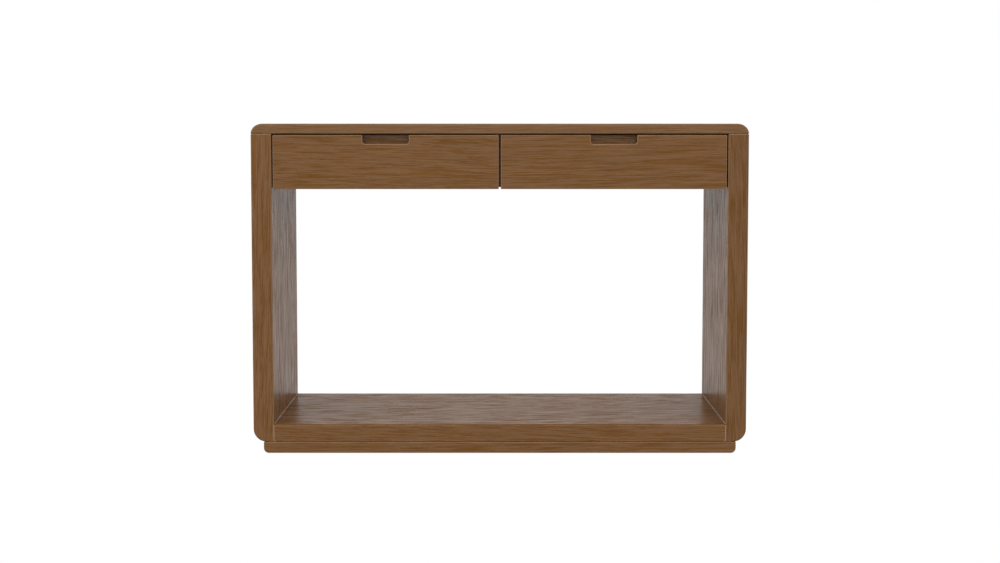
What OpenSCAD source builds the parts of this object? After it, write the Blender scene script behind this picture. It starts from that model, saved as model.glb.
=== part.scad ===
// Console table. A top runs over two thick slab sides, an open shelf joins the sides near the floor,
// a low plinth carries the shelf, and two drawers on ball-bearing slides hang side by side under
// the top. The front faces -Y, +Z is up, and the origin is on the floor under the middle.
// Lengths are in millimetres.

/* [Table] */
// Overall width
table_w = 1219.2; // [1100:0.1:1500]
// Overall depth
table_d = 406.4; // [400:0.1:460]
// Overall height, floor glides included
table_h = 815.5; // [760:0.5:900]
// Thickness of the top panel
top_t = 25.4; // [25:0.1:32]
// Radius of the rounded ends of the top
top_r = 24.6; // [10:0.1:24.9]
// Thickness of each side panel
side_t = 50.8; // [45:0.1:60]
// Radius of the rounded lower outer edge of each side panel
side_r = 31.8; // [10:0.1:40]

/* [Shelf and plinth] */
// Thickness of the open shelf
shelf_t = 43.8; // [38:0.1:55]
// Height of the plinth boards
plinth_h = 28; // [26:0.5:60]
// Inset of the plinth from each end of the table
plinth_inset = 25.4; // [10:0.1:40]
// Thickness of the plinth boards
plinth_t = 20; // [19:0.5:25]
// Radius of the rounded lower outer edges of the plinth
plinth_r = 12.7; // [5:0.1:18]
// Height of the nylon glides under the plinth
glide_h = 1.5; // [1:0.1:5]

/* [Drawers] */
// Height of each drawer front
front_h = 132.5; // [130:0.5:170]
// Thickness of each drawer front
front_t = 22; // [20:0.5:25]
// Gap over each drawer front
top_gap = 2.2; // [1.5:0.1:4]
// Gap between a drawer front and the side panel beside it
side_gap = 3; // [2:0.1:4]
// Gap between the two drawer fronts
middle_gap = 5; // [3:0.1:8]
// Width of the finger notch in the top edge of a drawer front
notch_w = 113; // [80:1:160]
// Depth of the finger notch below the top edge
notch_h = 21.6; // [18:0.1:26]
// Radius of the lower corners of the notch
notch_r = 6.5; // [3:0.5:10]
// Height of the drawer box
box_h = 110; // [100:1:110]
// Thickness of the boards of the drawer box
box_t = 12; // [12:0.5:13]
// How far each drawer slides out
travel = 350; // [200:10:350]

/* [Hidden] */
$fn = 64;
eps = 1;  // how far a cutter stands out of the face that it cuts

// Levels and planes of the case
open_w = table_w - 2 * side_t;
base_z = glide_h + plinth_h;
under_top = table_h - top_t;
front_top = under_top - top_gap;
front_bottom = front_top - front_h;
front_y = -table_d / 2;
front_back = front_y + front_t;

// Toe: each side panel swells under the end of the shelf along an arc that starts at its inner face
toe_r = 25;
toe_h = 12.3;
toe_w = toe_r - sqrt(toe_r * toe_r - toe_h * toe_h);

// Plinth: its half width, and the inner faces of its boards
plinth_half = table_w / 2 - plinth_inset;
plinth_x = plinth_half - plinth_t;
plinth_y = table_d / 2 - plinth_t;

// Drawer case behind the fronts
floor_t = 15;
floor_z = front_bottom + 4;
floor_top = floor_z + floor_t;
divider_t = 19;
divider_y = front_back + 1.5;
back_t = 16;
back_y = table_d / 2 - 3 - back_t;

// Drawer box, centred in its own bay
bay_w = (open_w - divider_t) / 2;
bay_x = (divider_t + bay_w) / 2;
slide_t = 12.7;
box_w = bay_w - 2 * slide_t;
box_z = floor_top + 3;
box_l = travel + 3.2;
box_y = front_back;
front_w = (open_w - middle_gap) / 2 - side_gap;
front_x = (middle_gap + front_w) / 2;
groove_deep = 12;
groove_high = 12;
panel_t = 6;
panel_up = 10;
panel_in = 5;
panel_play = 0.1;

// Ball-bearing slide: u runs from the case wall to the drawer box, v runs up from the slide's middle
slide_z = box_z + 47.5;
slide_y = front_back + 3.2;
sheet = 1.2;
cabinet_half = 22.7;
cabinet_reach = 10.4;
cabinet_lip = 1.6;
middle_u = 4.2;
middle_half = 18;
middle_reach = 7;
drawer_half = 13.3;
drawer_reach = 5.1;
ball_d = 3.3;
ball_hole_d = 3.5;
ball_pitch = 20;
cage_t = 0.6;
cage_l = 160;
cage_y = slide_y + travel / 2 - cage_l / 2;
outer_cage = [2.6, 6.3, 20.05, 6.2];  // [u of the web, reach, half height, u of the balls]
inner_cage = [6.2, 5, 15.35, 9.2];

// Fasteners
screw_d = 4;
screw_l = 36;
screw_head_d = 8;
screw_head_h = 2.6;
front_screw_l = 28;
rail_screw_d = 3.4;
rail_screw_l = 8;
rail_head_d = 6.6;
rail_head_h = 0.8;
dowel_d = 8;
dowel_l = 34;
drill_play = 0.1;
top_dowel_y = [-150, -50, 50, 150];
floor_y = [-130, 0, 130];
back_z = [floor_top + 18, under_top - 30];
rail_screw_y = [slide_y + 25, slide_y + 175, slide_y + 325];
cross_x = 200;
cross_w = 60;
cross_t = 20;
block_w = 40;
block_h = 20;
glide_d = 12;
glide_nail_d = 2.4;
glide_nail_l = 12;
glide_x = 520;
glide_in = 13;

// Colours
wood = [0.46, 0.33, 0.21];
box_wood = [0.78, 0.66, 0.5];
beech = [0.85, 0.72, 0.54];
steel = [0.72, 0.74, 0.76];
nylon = [0.15, 0.14, 0.13];

SIDES = [-1, 1];
SIDE_NAMES = ["left", "right"];
function side_name(s) = SIDE_NAMES[s < 0 ? 0 : 1];
function drawer_node(s, piece) = str(side_name(s), "_drawer_", piece);
function slide_node(s, end, piece) = drawer_node(s, str(side_name(end), "_", piece));

CASE_NODES = [
    "top_panel", "left_side_panel", "right_side_panel", "bottom_shelf", "case_floor", "back_panel",
    "centre_divider", "plinth_front_rail", "plinth_back_rail", "plinth_left_rail",
    "plinth_right_rail", "plinth_left_cross_rail", "plinth_right_cross_rail",
    "plinth_corner_blocks", "joint_dowels", "case_screws", "cabinet_rail_screws", "floor_glides"
];
BOX_PIECES = [
    "front", "left_side", "right_side", "inner_front", "back", "bottom", "front_screws",
    "rail_screws"
];
SLIDE_PIECES = ["cabinet_rail", "middle_rail", "drawer_rail", "outer_ball_cage", "inner_ball_cage"];

// ---- helpers ----

// Extrudes a front-view outline along Y, from y0 to y1
module along_y(y0, y1) {
    rotate([90, 0, 0]) translate([0, 0, -y1]) linear_extrude(y1 - y0) children();
}

// Mirrors a right-hand piece to the left where s is -1
module on_side(s) {
    mirror([s < 0 ? 1 : 0, 0, 0]) children();
}

// Waste outside a rounded corner at the origin. The board lies towards -X and -Y
module corner_waste(r) {
    translate([-r, -r]) difference() {
        square(r + eps);
        circle(r);
    }
}

// Straight board between two corners
module board(low, high) {
    translate(low) cube(high - low);
}

// ---- fasteners, each pointing down from its place ----

module dowel() {
    translate([0, 0, -dowel_l / 2]) cylinder(h = dowel_l, d = dowel_d);
}

module dowel_hole() {
    bore_l = dowel_l + 2;
    translate([0, 0, -bore_l / 2]) cylinder(h = bore_l, d = dowel_d + drill_play);
}

module screw(l = screw_l) {
    translate([0, 0, -screw_head_h]) cylinder(h = screw_head_h, d = screw_head_d);
    translate([0, 0, -l]) cylinder(h = l - screw_head_h / 2, d = screw_d);
}

module screw_hole(l = screw_l) {
    sink = screw_head_h + drill_play;
    translate([0, 0, -sink]) cylinder(h = sink + eps, d = screw_head_d + 2 * drill_play);
    translate([0, 0, -l - 0.5]) cylinder(h = l, d = screw_d + drill_play);
}

// Rail screw, with its head on the sheet and its shank through it
module rail_screw() {
    cylinder(h = rail_head_h, d = rail_head_d);
    shank_l = rail_screw_l + sheet;
    translate([0, 0, -shank_l]) cylinder(h = shank_l + rail_head_h / 2, d = rail_screw_d);
}

module rail_screw_hole() {
    bore_l = rail_screw_l + sheet + 0.5;
    translate([0, 0, -bore_l]) cylinder(h = bore_l + eps, d = rail_screw_d + drill_play);
}

// ---- places of the fasteners ----

module at_top_dowels() {
    for (s = SIDES) for (y = top_dowel_y)
        translate([s * (table_w - side_t) / 2, y, under_top]) children();
}

module at_shelf_dowels() {
    for (s = SIDES) for (y = top_dowel_y)
        translate([s * open_w / 2, y, base_z + 0.6 * shelf_t]) rotate([0, 90, 0]) children();
}

module at_floor_dowels() {
    for (s = SIDES) for (y = floor_y)
        translate([s * open_w / 2, y, floor_z + floor_t / 2]) rotate([0, 90, 0]) children();
}

module at_back_dowels() {
    for (s = SIDES) for (z = back_z)
        translate([s * open_w / 2, back_y + back_t / 2, z]) rotate([0, 90, 0]) children();
}

module at_divider_dowels() {
    for (y = floor_y) translate([0, y, under_top]) children();
}

// Screws up through the case floor into the divider
module at_floor_screws() {
    for (y = floor_y) translate([0, y, floor_z]) rotate([180, 0, 0]) children();
}

// Screws through the back panel into the divider and the edge of the case floor
module at_back_screws() {
    for (z = back_z) translate([0, back_y + back_t, z]) rotate([-90, 0, 0]) children();
    for (x = [-400, -150, 150, 400])
        translate([x, back_y + back_t, floor_z + floor_t / 2]) rotate([-90, 0, 0]) children();
}

// Screws up through the cross rails and the corner blocks into the shelf
module at_plinth_screws() {
    for (s = SIDES) for (y = floor_y)
        translate([s * cross_x, y, base_z - cross_t]) rotate([180, 0, 0]) children();
    for (s = SIDES) for (t = SIDES)
        translate([s * (plinth_x - block_w / 3), t * (plinth_y - block_w / 3), base_z - block_h])
            rotate([180, 0, 0]) children();
}

// Screws from inside the drawer box into the drawer front
module at_front_screws(s) {
    on_side(s) for (x = [-180, 180]) for (z = [box_z + 28, box_z + 70])
        translate([bay_x + x, box_y + box_t, z]) rotate([-90, 0, 0]) children();
}

module at_glides() {
    for (x = [-glide_x, 0, glide_x]) for (t = SIDES)
        translate([x, t * (table_d / 2 - glide_in), 0]) children();
}

// A slide stands on the case wall at one end of a bay, with +X towards the drawer box.
// s is the drawer, and end is the end of its bay: -1 is left and 1 is right
module at_slide(s, end) {
    translate([s * bay_x + end * bay_w / 2, 0, slide_z]) mirror([end > 0 ? 1 : 0, 0, 0]) children();
}

module at_cabinet_rail_screws(s, end) {
    at_slide(s, end) for (y = rail_screw_y) translate([sheet, y, 0]) rotate([0, 90, 0]) children();
}

module at_drawer_rail_screws(s, end) {
    at_slide(s, end) for (y = rail_screw_y)
        translate([slide_t - sheet, y, 0]) rotate([0, -90, 0]) children();
}

// ---- case ----

module top_panel() {
    color(wood) difference() {
        along_y(front_y, -front_y) difference() {
            translate([-table_w / 2, under_top]) square([table_w, top_t]);
            for (m = [0, 1]) mirror([m, 0]) translate([table_w / 2, table_h]) corner_waste(top_r);
        }
        at_top_dowels() dowel_hole();
        at_divider_dowels() dowel_hole();
    }
}

// Front view of the right side panel, with its rounded outer corner and its inner toe
module side_outline() {
    difference() {
        translate([open_w / 2 - toe_w, base_z]) square([side_t + toe_w, under_top - base_z]);
        translate([open_w / 2 - toe_w - eps, base_z + toe_h])
            square([toe_w + eps, under_top - base_z]);
        translate([open_w / 2 - toe_r, base_z + toe_h]) circle(toe_r);
        translate([table_w / 2, base_z]) mirror([0, 1]) corner_waste(side_r);
    }
}

module side_panel(s) {
    color(wood) difference() {
        on_side(s) along_y(front_y, -front_y) side_outline();
        at_top_dowels() dowel_hole();
        at_shelf_dowels() dowel_hole();
        at_floor_dowels() dowel_hole();
        at_back_dowels() dowel_hole();
        at_cabinet_rail_screws(s, s) rail_screw_hole();
    }
}

// Open shelf. Its lower end corners give way to the toes of the side panels
module bottom_shelf() {
    color(wood) difference() {
        along_y(front_y, -front_y) difference() {
            translate([-open_w / 2, base_z]) square([open_w, shelf_t]);
            for (m = [0, 1]) mirror([m, 0]) difference() {
                translate([open_w / 2 - toe_w, base_z - eps]) square([toe_w + eps, toe_h + eps]);
                translate([open_w / 2 - toe_r, base_z + toe_h]) circle(toe_r);
            }
        }
        at_shelf_dowels() dowel_hole();
        at_plinth_screws() screw_hole();
    }
}

module case_floor() {
    color(wood) difference() {
        board([-open_w / 2, divider_y, floor_z], [open_w / 2, back_y, floor_top]);
        at_floor_dowels() dowel_hole();
        at_floor_screws() screw_hole();
        at_back_screws() screw_hole();
    }
}

module back_panel() {
    color(wood) difference() {
        board([-open_w / 2, back_y, floor_z], [open_w / 2, back_y + back_t, under_top]);
        at_back_dowels() dowel_hole();
        at_back_screws() screw_hole();
    }
}

module centre_divider() {
    color(wood) difference() {
        board([-divider_t / 2, divider_y, floor_top], [divider_t / 2, back_y, under_top]);
        at_divider_dowels() dowel_hole();
        at_floor_screws() screw_hole();
        at_back_screws() screw_hole();
        for (s = SIDES) at_cabinet_rail_screws(s, -s) rail_screw_hole();
    }
}

// ---- plinth ----

module plinth_long_rail(t) {
    y0 = t < 0 ? front_y : plinth_y;
    color(wood) difference() {
        along_y(y0, y0 + plinth_t) difference() {
            translate([-plinth_half, glide_h]) square([2 * plinth_half, plinth_h]);
            for (m = [0, 1]) mirror([m, 0])
                translate([plinth_half, glide_h]) mirror([0, 1]) corner_waste(plinth_r);
        }
        at_glides() cylinder(h = glide_h + glide_nail_l + 0.5, d = glide_nail_d + drill_play);
    }
}

module plinth_end_rail(s) {
    color(wood) on_side(s) along_y(-plinth_y, plinth_y) difference() {
        translate([plinth_x, glide_h]) square([plinth_t, plinth_h]);
        translate([plinth_half, glide_h]) mirror([0, 1]) corner_waste(plinth_r);
    }
}

module plinth_cross_rail(s) {
    x = s * cross_x;
    color(box_wood) difference() {
        board([x - cross_w / 2, -plinth_y, base_z - cross_t], [x + cross_w / 2, plinth_y, base_z]);
        at_plinth_screws() screw_hole();
    }
}

module plinth_corner_blocks() {
    color(box_wood) difference() {
        for (s = SIDES) for (t = SIDES)
            translate([s * plinth_x, t * plinth_y, base_z - block_h])
                mirror([s > 0 ? 1 : 0, 0, 0]) mirror([0, t > 0 ? 1 : 0, 0])
                    linear_extrude(block_h) polygon([[0, 0], [block_w, 0], [0, block_w]]);
        at_plinth_screws() screw_hole();
    }
}

module floor_glides() {
    color(nylon) at_glides() {
        cylinder(h = glide_h, d = glide_d);
        cylinder(h = glide_h + glide_nail_l, d = glide_nail_d);
    }
}

// ---- fastener groups ----

module joint_dowels() {
    color(beech) {
        at_top_dowels() dowel();
        at_shelf_dowels() dowel();
        at_floor_dowels() dowel();
        at_back_dowels() dowel();
        at_divider_dowels() dowel();
    }
}

module case_screws() {
    color(steel) {
        at_floor_screws() screw();
        at_back_screws() screw();
        at_plinth_screws() screw();
    }
}

module cabinet_rail_screws() {
    color(steel) for (s = SIDES) for (end = SIDES) at_cabinet_rail_screws(s, end) rail_screw();
}

module drawer_front_screws(s) {
    color(steel) at_front_screws(s) screw(front_screw_l);
}

module drawer_rail_screws(s) {
    color(steel) for (end = SIDES) at_drawer_rail_screws(s, end) rail_screw();
}

// ---- drawers ----

// Finger notch, seen from the front
module notch_outline() {
    difference() {
        translate([front_x - notch_w / 2, front_top - notch_h]) square([notch_w, notch_h + eps]);
        for (end = SIDES) translate([front_x + end * notch_w / 2, front_top - notch_h])
            mirror([end < 0 ? 1 : 0, 0]) mirror([0, 1]) corner_waste(notch_r);
    }
}

// Drawer front, with a notch in its top edge and a finger groove down its back below the notch
module drawer_front(s) {
    groove_z = front_top - notch_h - groove_high;
    color(wood) difference() {
        on_side(s) difference() {
            along_y(front_y, front_back) difference() {
                translate([front_x - front_w / 2, front_bottom]) square([front_w, front_h]);
                notch_outline();
            }
            translate([front_x - notch_w / 2, front_back - groove_deep, groove_z])
                cube([notch_w, groove_deep + eps, groove_high + notch_r]);
        }
        at_front_screws(s) screw_hole(front_screw_l);
    }
}

// Groove that runs round the inside of the drawer box and holds its bottom panel
module panel_groove(s) {
    hold = panel_t + 2 * panel_play;
    translate([s * bay_x - box_w / 2 + box_t - panel_in, box_y + box_t - panel_in, box_z + panel_up])
        cube([box_w - 2 * (box_t - panel_in), box_l - 2 * (box_t - panel_in), hold]);
}

module drawer_side(s, end) {
    x0 = s * bay_x + end * box_w / 2 - (end > 0 ? box_t : 0);
    color(box_wood) difference() {
        board([x0, box_y, box_z], [x0 + box_t, box_y + box_l, box_z + box_h]);
        panel_groove(s);
        at_drawer_rail_screws(s, end) rail_screw_hole();
    }
}

// Board across the drawer box, between its sides, starting at y0
module drawer_cross_board(s, y0) {
    half = box_w / 2 - box_t;
    difference() {
        board([s * bay_x - half, y0, box_z], [s * bay_x + half, y0 + box_t, box_z + box_h]);
        panel_groove(s);
        at_front_screws(s) screw_hole(front_screw_l);
    }
}

module drawer_inner_front(s) {
    color(wood) drawer_cross_board(s, box_y);
}

module drawer_back(s) {
    color(box_wood) drawer_cross_board(s, box_y + box_l - box_t);
}

module drawer_bottom(s) {
    hold = panel_in - panel_play;
    half = box_w / 2 - box_t + hold;
    z0 = box_z + panel_up + panel_play;
    color(box_wood) board(
        [s * bay_x - half, box_y + box_t - hold, z0],
        [s * bay_x + half, box_y + box_l - box_t + hold, z0 + panel_t]
    );
}

// ---- slides ----

// Channel that opens towards +X: a web at u0, flanges that reach out from it, and lips at their tips
module channel(u0, reach, half, t, lip = 0) {
    inner = half - t;
    tip = lip > 0 ? t : -eps;
    difference() {
        translate([u0, -half]) square([reach, 2 * half]);
        translate([u0 + t, -inner]) square([reach - t - tip, 2 * inner]);
        translate([u0 + t, lip - inner]) square([reach, 2 * (inner - lip)]);
    }
}

module cabinet_rail(s, end) {
    color(steel) difference() {
        at_slide(s, end) along_y(slide_y, slide_y + travel)
            channel(0, cabinet_reach, cabinet_half, sheet, cabinet_lip);
        at_cabinet_rail_screws(s, end) rail_screw_hole();
    }
}

module middle_rail(s, end) {
    color(steel) at_slide(s, end) along_y(slide_y, slide_y + travel)
        channel(middle_u, middle_reach, middle_half, sheet);
}

module drawer_rail(s, end) {
    color(steel) difference() {
        at_slide(s, end) along_y(slide_y, slide_y + travel)
            translate([slide_t, 0]) mirror([1, 0]) channel(0, drawer_reach, drawer_half, sheet);
        at_drawer_rail_screws(s, end) rail_screw_hole();
    }
}

// Pressed strip that spaces two rows of balls, one over and one under the rail
module ball_cage(s, end, cage) {
    row_z = cage[2] - cage_t / 2;
    at_slide(s, end) {
        color(nylon) difference() {
            along_y(cage_y, cage_y + cage_l) channel(cage[0], cage[1], cage[2], cage_t);
            at_balls(cage[3], row_z) cylinder(h = 4 * cage_t, d = ball_hole_d, center = true);
        }
        color(steel) at_balls(cage[3], row_z) sphere(d = ball_d);
    }
}

module at_balls(u, row_z) {
    for (end = SIDES) for (y = [ball_pitch / 2 : ball_pitch : cage_l])
        translate([u, cage_y + y, end * row_z]) children();
}

// ---- nodes ----

top_panel();
side_panel(-1);  // left_side_panel
side_panel(1);  // right_side_panel
bottom_shelf();
case_floor();
back_panel();
centre_divider();
plinth_long_rail(-1);  // plinth_front_rail
plinth_long_rail(1);  // plinth_back_rail
plinth_end_rail(-1);  // plinth_left_rail
plinth_end_rail(1);  // plinth_right_rail
plinth_cross_rail(-1);  // plinth_left_cross_rail
plinth_cross_rail(1);  // plinth_right_cross_rail
plinth_corner_blocks();
joint_dowels();
case_screws();
cabinet_rail_screws();
floor_glides();
for (s = SIDES) {
    drawer_front(s);
    drawer_side(s, -1);
    drawer_side(s, 1);
    drawer_inner_front(s);
    drawer_back(s);
    drawer_bottom(s);
    drawer_front_screws(s);
    drawer_rail_screws(s);
    for (end = SIDES) {
        cabinet_rail(s, end);
        middle_rail(s, end);
        drawer_rail(s, end);
        ball_cage(s, end, outer_cage);
        ball_cage(s, end, inner_cage);
    }
}
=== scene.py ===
# %% [markdown]
# # A console table in brown oak
#
# The table is a frame of thick boards: a top that runs over two slab sides, a shelf between the
# sides just above the floor, and a low plinth under it. Two drawers hang side by side under the
# top. The engineering model gives every board its size and place. This script gives the boards
# what a joiner and a finisher give them: eased edges, grain that runs the right way, open pores
# and a satin lacquer. Lengths are in metres, as Blender has them, and MM makes them readable.

# %% Load the engineering model
import math

import bmesh
import bpy
import numpy as np
from mathutils import Matrix, Vector


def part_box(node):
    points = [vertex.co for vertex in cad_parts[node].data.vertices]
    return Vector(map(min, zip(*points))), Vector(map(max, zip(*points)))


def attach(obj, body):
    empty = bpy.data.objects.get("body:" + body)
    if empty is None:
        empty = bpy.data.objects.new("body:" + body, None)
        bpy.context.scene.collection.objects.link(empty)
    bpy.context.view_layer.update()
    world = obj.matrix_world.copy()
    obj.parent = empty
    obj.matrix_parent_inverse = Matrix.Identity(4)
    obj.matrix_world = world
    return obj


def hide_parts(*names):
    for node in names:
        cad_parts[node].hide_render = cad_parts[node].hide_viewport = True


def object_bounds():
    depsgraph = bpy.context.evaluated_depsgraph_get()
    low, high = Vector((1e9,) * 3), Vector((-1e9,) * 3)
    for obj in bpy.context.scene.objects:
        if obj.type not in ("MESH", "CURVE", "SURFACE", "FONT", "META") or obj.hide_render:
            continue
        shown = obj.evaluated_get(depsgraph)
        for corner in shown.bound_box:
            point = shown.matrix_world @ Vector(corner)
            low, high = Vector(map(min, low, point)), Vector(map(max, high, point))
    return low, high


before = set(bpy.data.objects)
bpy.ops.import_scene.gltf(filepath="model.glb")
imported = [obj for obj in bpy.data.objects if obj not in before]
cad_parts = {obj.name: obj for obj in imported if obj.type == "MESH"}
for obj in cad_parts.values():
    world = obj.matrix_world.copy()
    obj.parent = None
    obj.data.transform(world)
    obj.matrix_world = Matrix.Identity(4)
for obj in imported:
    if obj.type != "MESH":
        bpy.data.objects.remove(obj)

CAD_LOW, CAD_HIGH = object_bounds()
MM = 0.001
print("table box in mm:", [round(s / MM, 1) for s in CAD_HIGH - CAD_LOW])

# %% [markdown]
# ## Camera, light and floor
#
# Furniture is often shown straight from the front, with the lens level with the top, so that
# upright edges stay upright. A view camera does it by sliding its back: here that is shift_y.
# Part of the framing is done by tilting the camera a few degrees instead, which keeps the shift
# low, so that the table stays in the picture from other sides as well.

# %% Camera
# Focal length in mm, shift in frame widths, and tilt in degrees.
FOCAL_LENGTH, BACK_SHIFT, TILT = 49.495, -0.07, 3.354
OFF_CENTRE, IN_FRONT, BELOW_TOP = 0.0005, 3.3629, 0.0178
scene = bpy.context.scene
camera_data = bpy.data.cameras.new("view_camera")
camera_data.lens = FOCAL_LENGTH
camera_data.sensor_width = 36
camera_data.shift_y = BACK_SHIFT
camera = bpy.data.objects.new("view_camera", camera_data)
camera.location = (OFF_CENTRE, CAD_LOW.y - IN_FRONT, CAD_HIGH.z - BELOW_TOP)
camera.rotation_euler = (math.radians(90 - TILT), 0, 0)
scene.collection.objects.link(camera)
scene.camera = camera
scene.view_settings.view_transform = "Standard"
print("camera stands", round(-camera.location.y, 2), "m in front of the middle")


# %% [markdown]
# Materials are built from nodes. One small helper adds a node and fills its sockets, so that
# each material below reads as a list of its layers.

# %% Node helpers
def put(tree, kind, sockets=None, **settings):
    """Adds a node, sets its options, and fills its sockets with values or links."""
    node = tree.nodes.new(kind)
    for name, value in settings.items():
        setattr(node, name, value)
    for name, value in (sockets or {}).items():
        socket = node.inputs[name]
        if isinstance(value, bpy.types.NodeSocket):
            tree.links.new(value, socket)
        else:
            socket.default_value = value
    return node


def new_material(name):
    """An empty node material: its tree and its Principled shader."""
    material = bpy.data.materials.new(name)
    material.use_nodes = True
    tree = material.node_tree
    return material, tree, tree.nodes["Principled BSDF"]


def ramp(tree, factor, stops):
    """A colour ramp with the given (place, colour) stops. Returns its colour socket."""
    node = put(tree, "ShaderNodeValToRGB", {"Fac": factor})
    band = node.color_ramp
    while len(band.elements) < len(stops):
        band.elements.new(0.5)
    for element, (place, colour) in zip(band.elements, stops):
        element.position = place
        element.color = (*colour, 1)
    return node.outputs["Color"]


def maths(tree, operation, a, b=0.0):
    """One step of arithmetic on sockets or numbers. Returns its value socket."""
    return put(tree, "ShaderNodeMath", {0: a, 1: b}, operation=operation).outputs["Value"]


def vector_maths(tree, operation, *values):
    """One step of arithmetic on vectors. Returns its vector socket."""
    node = put(tree, "ShaderNodeVectorMath", dict(enumerate(values)), operation=operation)
    return node.outputs["Vector"]


def between(tree, value, start, end, low=0.0, high=1.0):
    """Turns a value's run from start to end into a run from low to high. Returns its socket."""
    return put(tree, "ShaderNodeMapRange", {
        "Value": value, "From Min": start, "From Max": end, "To Min": low, "To Max": high,
    }).outputs["Result"]


# %% [markdown]
# The light is a white room with soft boxes. The sky of the room is bright down to a little
# below the horizon and dim under it, so that undersides fall off as they do over a studio table.

# %% Room light
# Heights between which the room turns from dim to white: 0 is the horizon, and -1 straight down.
DUSK = (-0.55, -0.18)


def white_room():
    """World light that is white overhead and around, and fades over DUSK to dim underfoot."""
    world = bpy.data.worlds.new("white_room")
    world.use_nodes = True
    tree = world.node_tree
    background = tree.nodes["Background"]
    coords = put(tree, "ShaderNodeTexCoord")
    split = put(tree, "ShaderNodeSeparateXYZ", {"Vector": coords.outputs["Generated"]})
    height = between(tree, split.outputs["Z"], *DUSK)
    sky = ramp(tree, height, [(0, (0.25, 0.25, 0.25)), (1, (1.0, 1.0, 1.0))])
    tree.links.new(sky, background.inputs["Color"])
    background.inputs["Strength"].default_value = 1.0
    scene.world = world


def soft_box(name, place, target, size, power):
    """A rectangular area light that points at target."""
    light = bpy.data.lights.new(name, "AREA")
    light.shape = "RECTANGLE"
    light.size, light.size_y = size
    light.energy = power
    lamp = bpy.data.objects.new(name, light)
    lamp.location = place
    lamp.rotation_euler = (Vector(target) - Vector(place)).to_track_quat("-Z", "Y").to_euler()
    scene.collection.objects.link(lamp)


white_room()
middle = (CAD_LOW + CAD_HIGH) / 2
soft_box("left_soft_box", (-3.2, -0.9, 1.3), middle, (2.0, 2.4), 26)
soft_box("right_soft_box", (3.2, -0.9, 1.3), middle, (2.0, 2.4), 8)
soft_box("high_front_soft_box", (0, -2.8, 2.7), middle, (3.0, 1.4), 25)


# %% [markdown]
# The floor is one wide plane. It glows by itself, like a light table, so that it stays white to
# its far edge and no shadow greys it. Diffuse rays pass it by, so it doesn't light the table a
# second time. From below it is clear, so that the glides and the plinth can be looked at.

# %% Floor
FLOOR_SIZE = 60
FLOOR_GAP = 0.2 * MM


def pale_floor():
    """A white floor, lit from inside like a light table. It is clear when seen from below."""
    bpy.ops.object.select_all(action="DESELECT")
    bpy.ops.mesh.primitive_plane_add(size=FLOOR_SIZE, location=(0, 0, CAD_LOW.z - FLOOR_GAP))
    floor = bpy.context.object
    floor.name = "pale_floor"
    material, tree, shader = new_material("floor_paint")
    shader.inputs["Base Color"].default_value = (0, 0, 0, 1)
    shader.inputs["Roughness"].default_value = 1.0
    shader.inputs["Specular IOR Level"].default_value = 0.0
    shader.inputs["Emission Color"].default_value = (1, 1, 1, 1)
    shader.inputs["Emission Strength"].default_value = 1.0
    underside = put(tree, "ShaderNodeNewGeometry").outputs["Backfacing"]
    tree.links.new(maths(tree, "SUBTRACT", 1.0, underside), shader.inputs["Alpha"])
    floor.data.materials.append(material)
    floor.visible_diffuse = False


pale_floor()
print("floor laid at", round((CAD_LOW.z - FLOOR_GAP) / MM, 2), "mm")


# %% [markdown]
# ## Brown oak
#
# Plain-sawn oak, stained brown, has several scales of detail: broad bands of tone, the rings of
# growth where they meet the face, streaks a few millimetres wide, fine fibres, and short dark
# pores. All of them are long along the grain and short across it. So each noise is stretched by
# scaling the coordinates: small steps along the grain, large steps across.
#
# Every board gets its own place in the log, as no two boards are alike, and its own direction,
# because grain follows the long side of each board.

# %% Grain
GRAIN_TURN = {"X": (0, 0, 0), "Y": (0, 0, -math.pi / 2), "Z": (0, math.pi / 2, 0)}
# How often each kind of detail repeats in a metre, along the grain and twice across it.
WANDER, BROAD, OPEN_GRAIN = (1.1, 7, 7), (1.4, 16, 16), (10, 70, 70)
STREAKS, FIBRES, PORES = (6, 370, 370), (16, 900, 900), (38, 1300, 1300)
WANDER_WIDTH = 0.022


def stretched(tree, vector, scale, detail, roughness=0.55):
    """Noise on coordinates stretched along the grain. Returns its factor socket."""
    noise = put(tree, "ShaderNodeTexNoise", {
        "Vector": vector_maths(tree, "MULTIPLY", vector, scale),
        "Scale": 1.0, "Detail": detail, "Roughness": roughness,
    })
    return noise.outputs["Fac"]


def in_the_log(tree, grain, number):
    """Coordinates with X along the grain, which wanders a little. number is a place in the log."""
    coords = put(tree, "ShaderNodeTexCoord").outputs["Object"]
    turned = put(tree, "ShaderNodeMapping", {
        "Vector": coords, "Rotation": GRAIN_TURN[grain],
    }).outputs["Vector"]
    skew = math.radians(1.2 if number % 2 else -1.6)
    log_place = (0.37 * number, 0.11 + 0.013 * (number % 5), 0.16 + 0.017 * (number % 7))
    placed = put(tree, "ShaderNodeMapping", {
        "Vector": turned, "Location": log_place, "Rotation": (0, skew, skew),
    }).outputs["Vector"]
    wander = put(tree, "ShaderNodeTexNoise", {
        "Vector": vector_maths(tree, "MULTIPLY", placed, WANDER), "Scale": 1.0, "Detail": 2.0,
    }).outputs["Color"]
    return vector_maths(tree, "MULTIPLY_ADD", wander, (0, WANDER_WIDTH, WANDER_WIDTH), placed)


print("ways the grain can run:", list(GRAIN_TURN))


# %% [markdown]
# A plain-sawn board cuts the rings of growth at a slant, so each year shows as a band. The rings
# are cylinders round the middle of the log, so the distance from its axis tells where in the
# year a point lies. End grain takes more stain than any other face, so it comes out darker.

# %% Growth rings and end grain
RINGS_IN_A_METRE = 190


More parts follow.
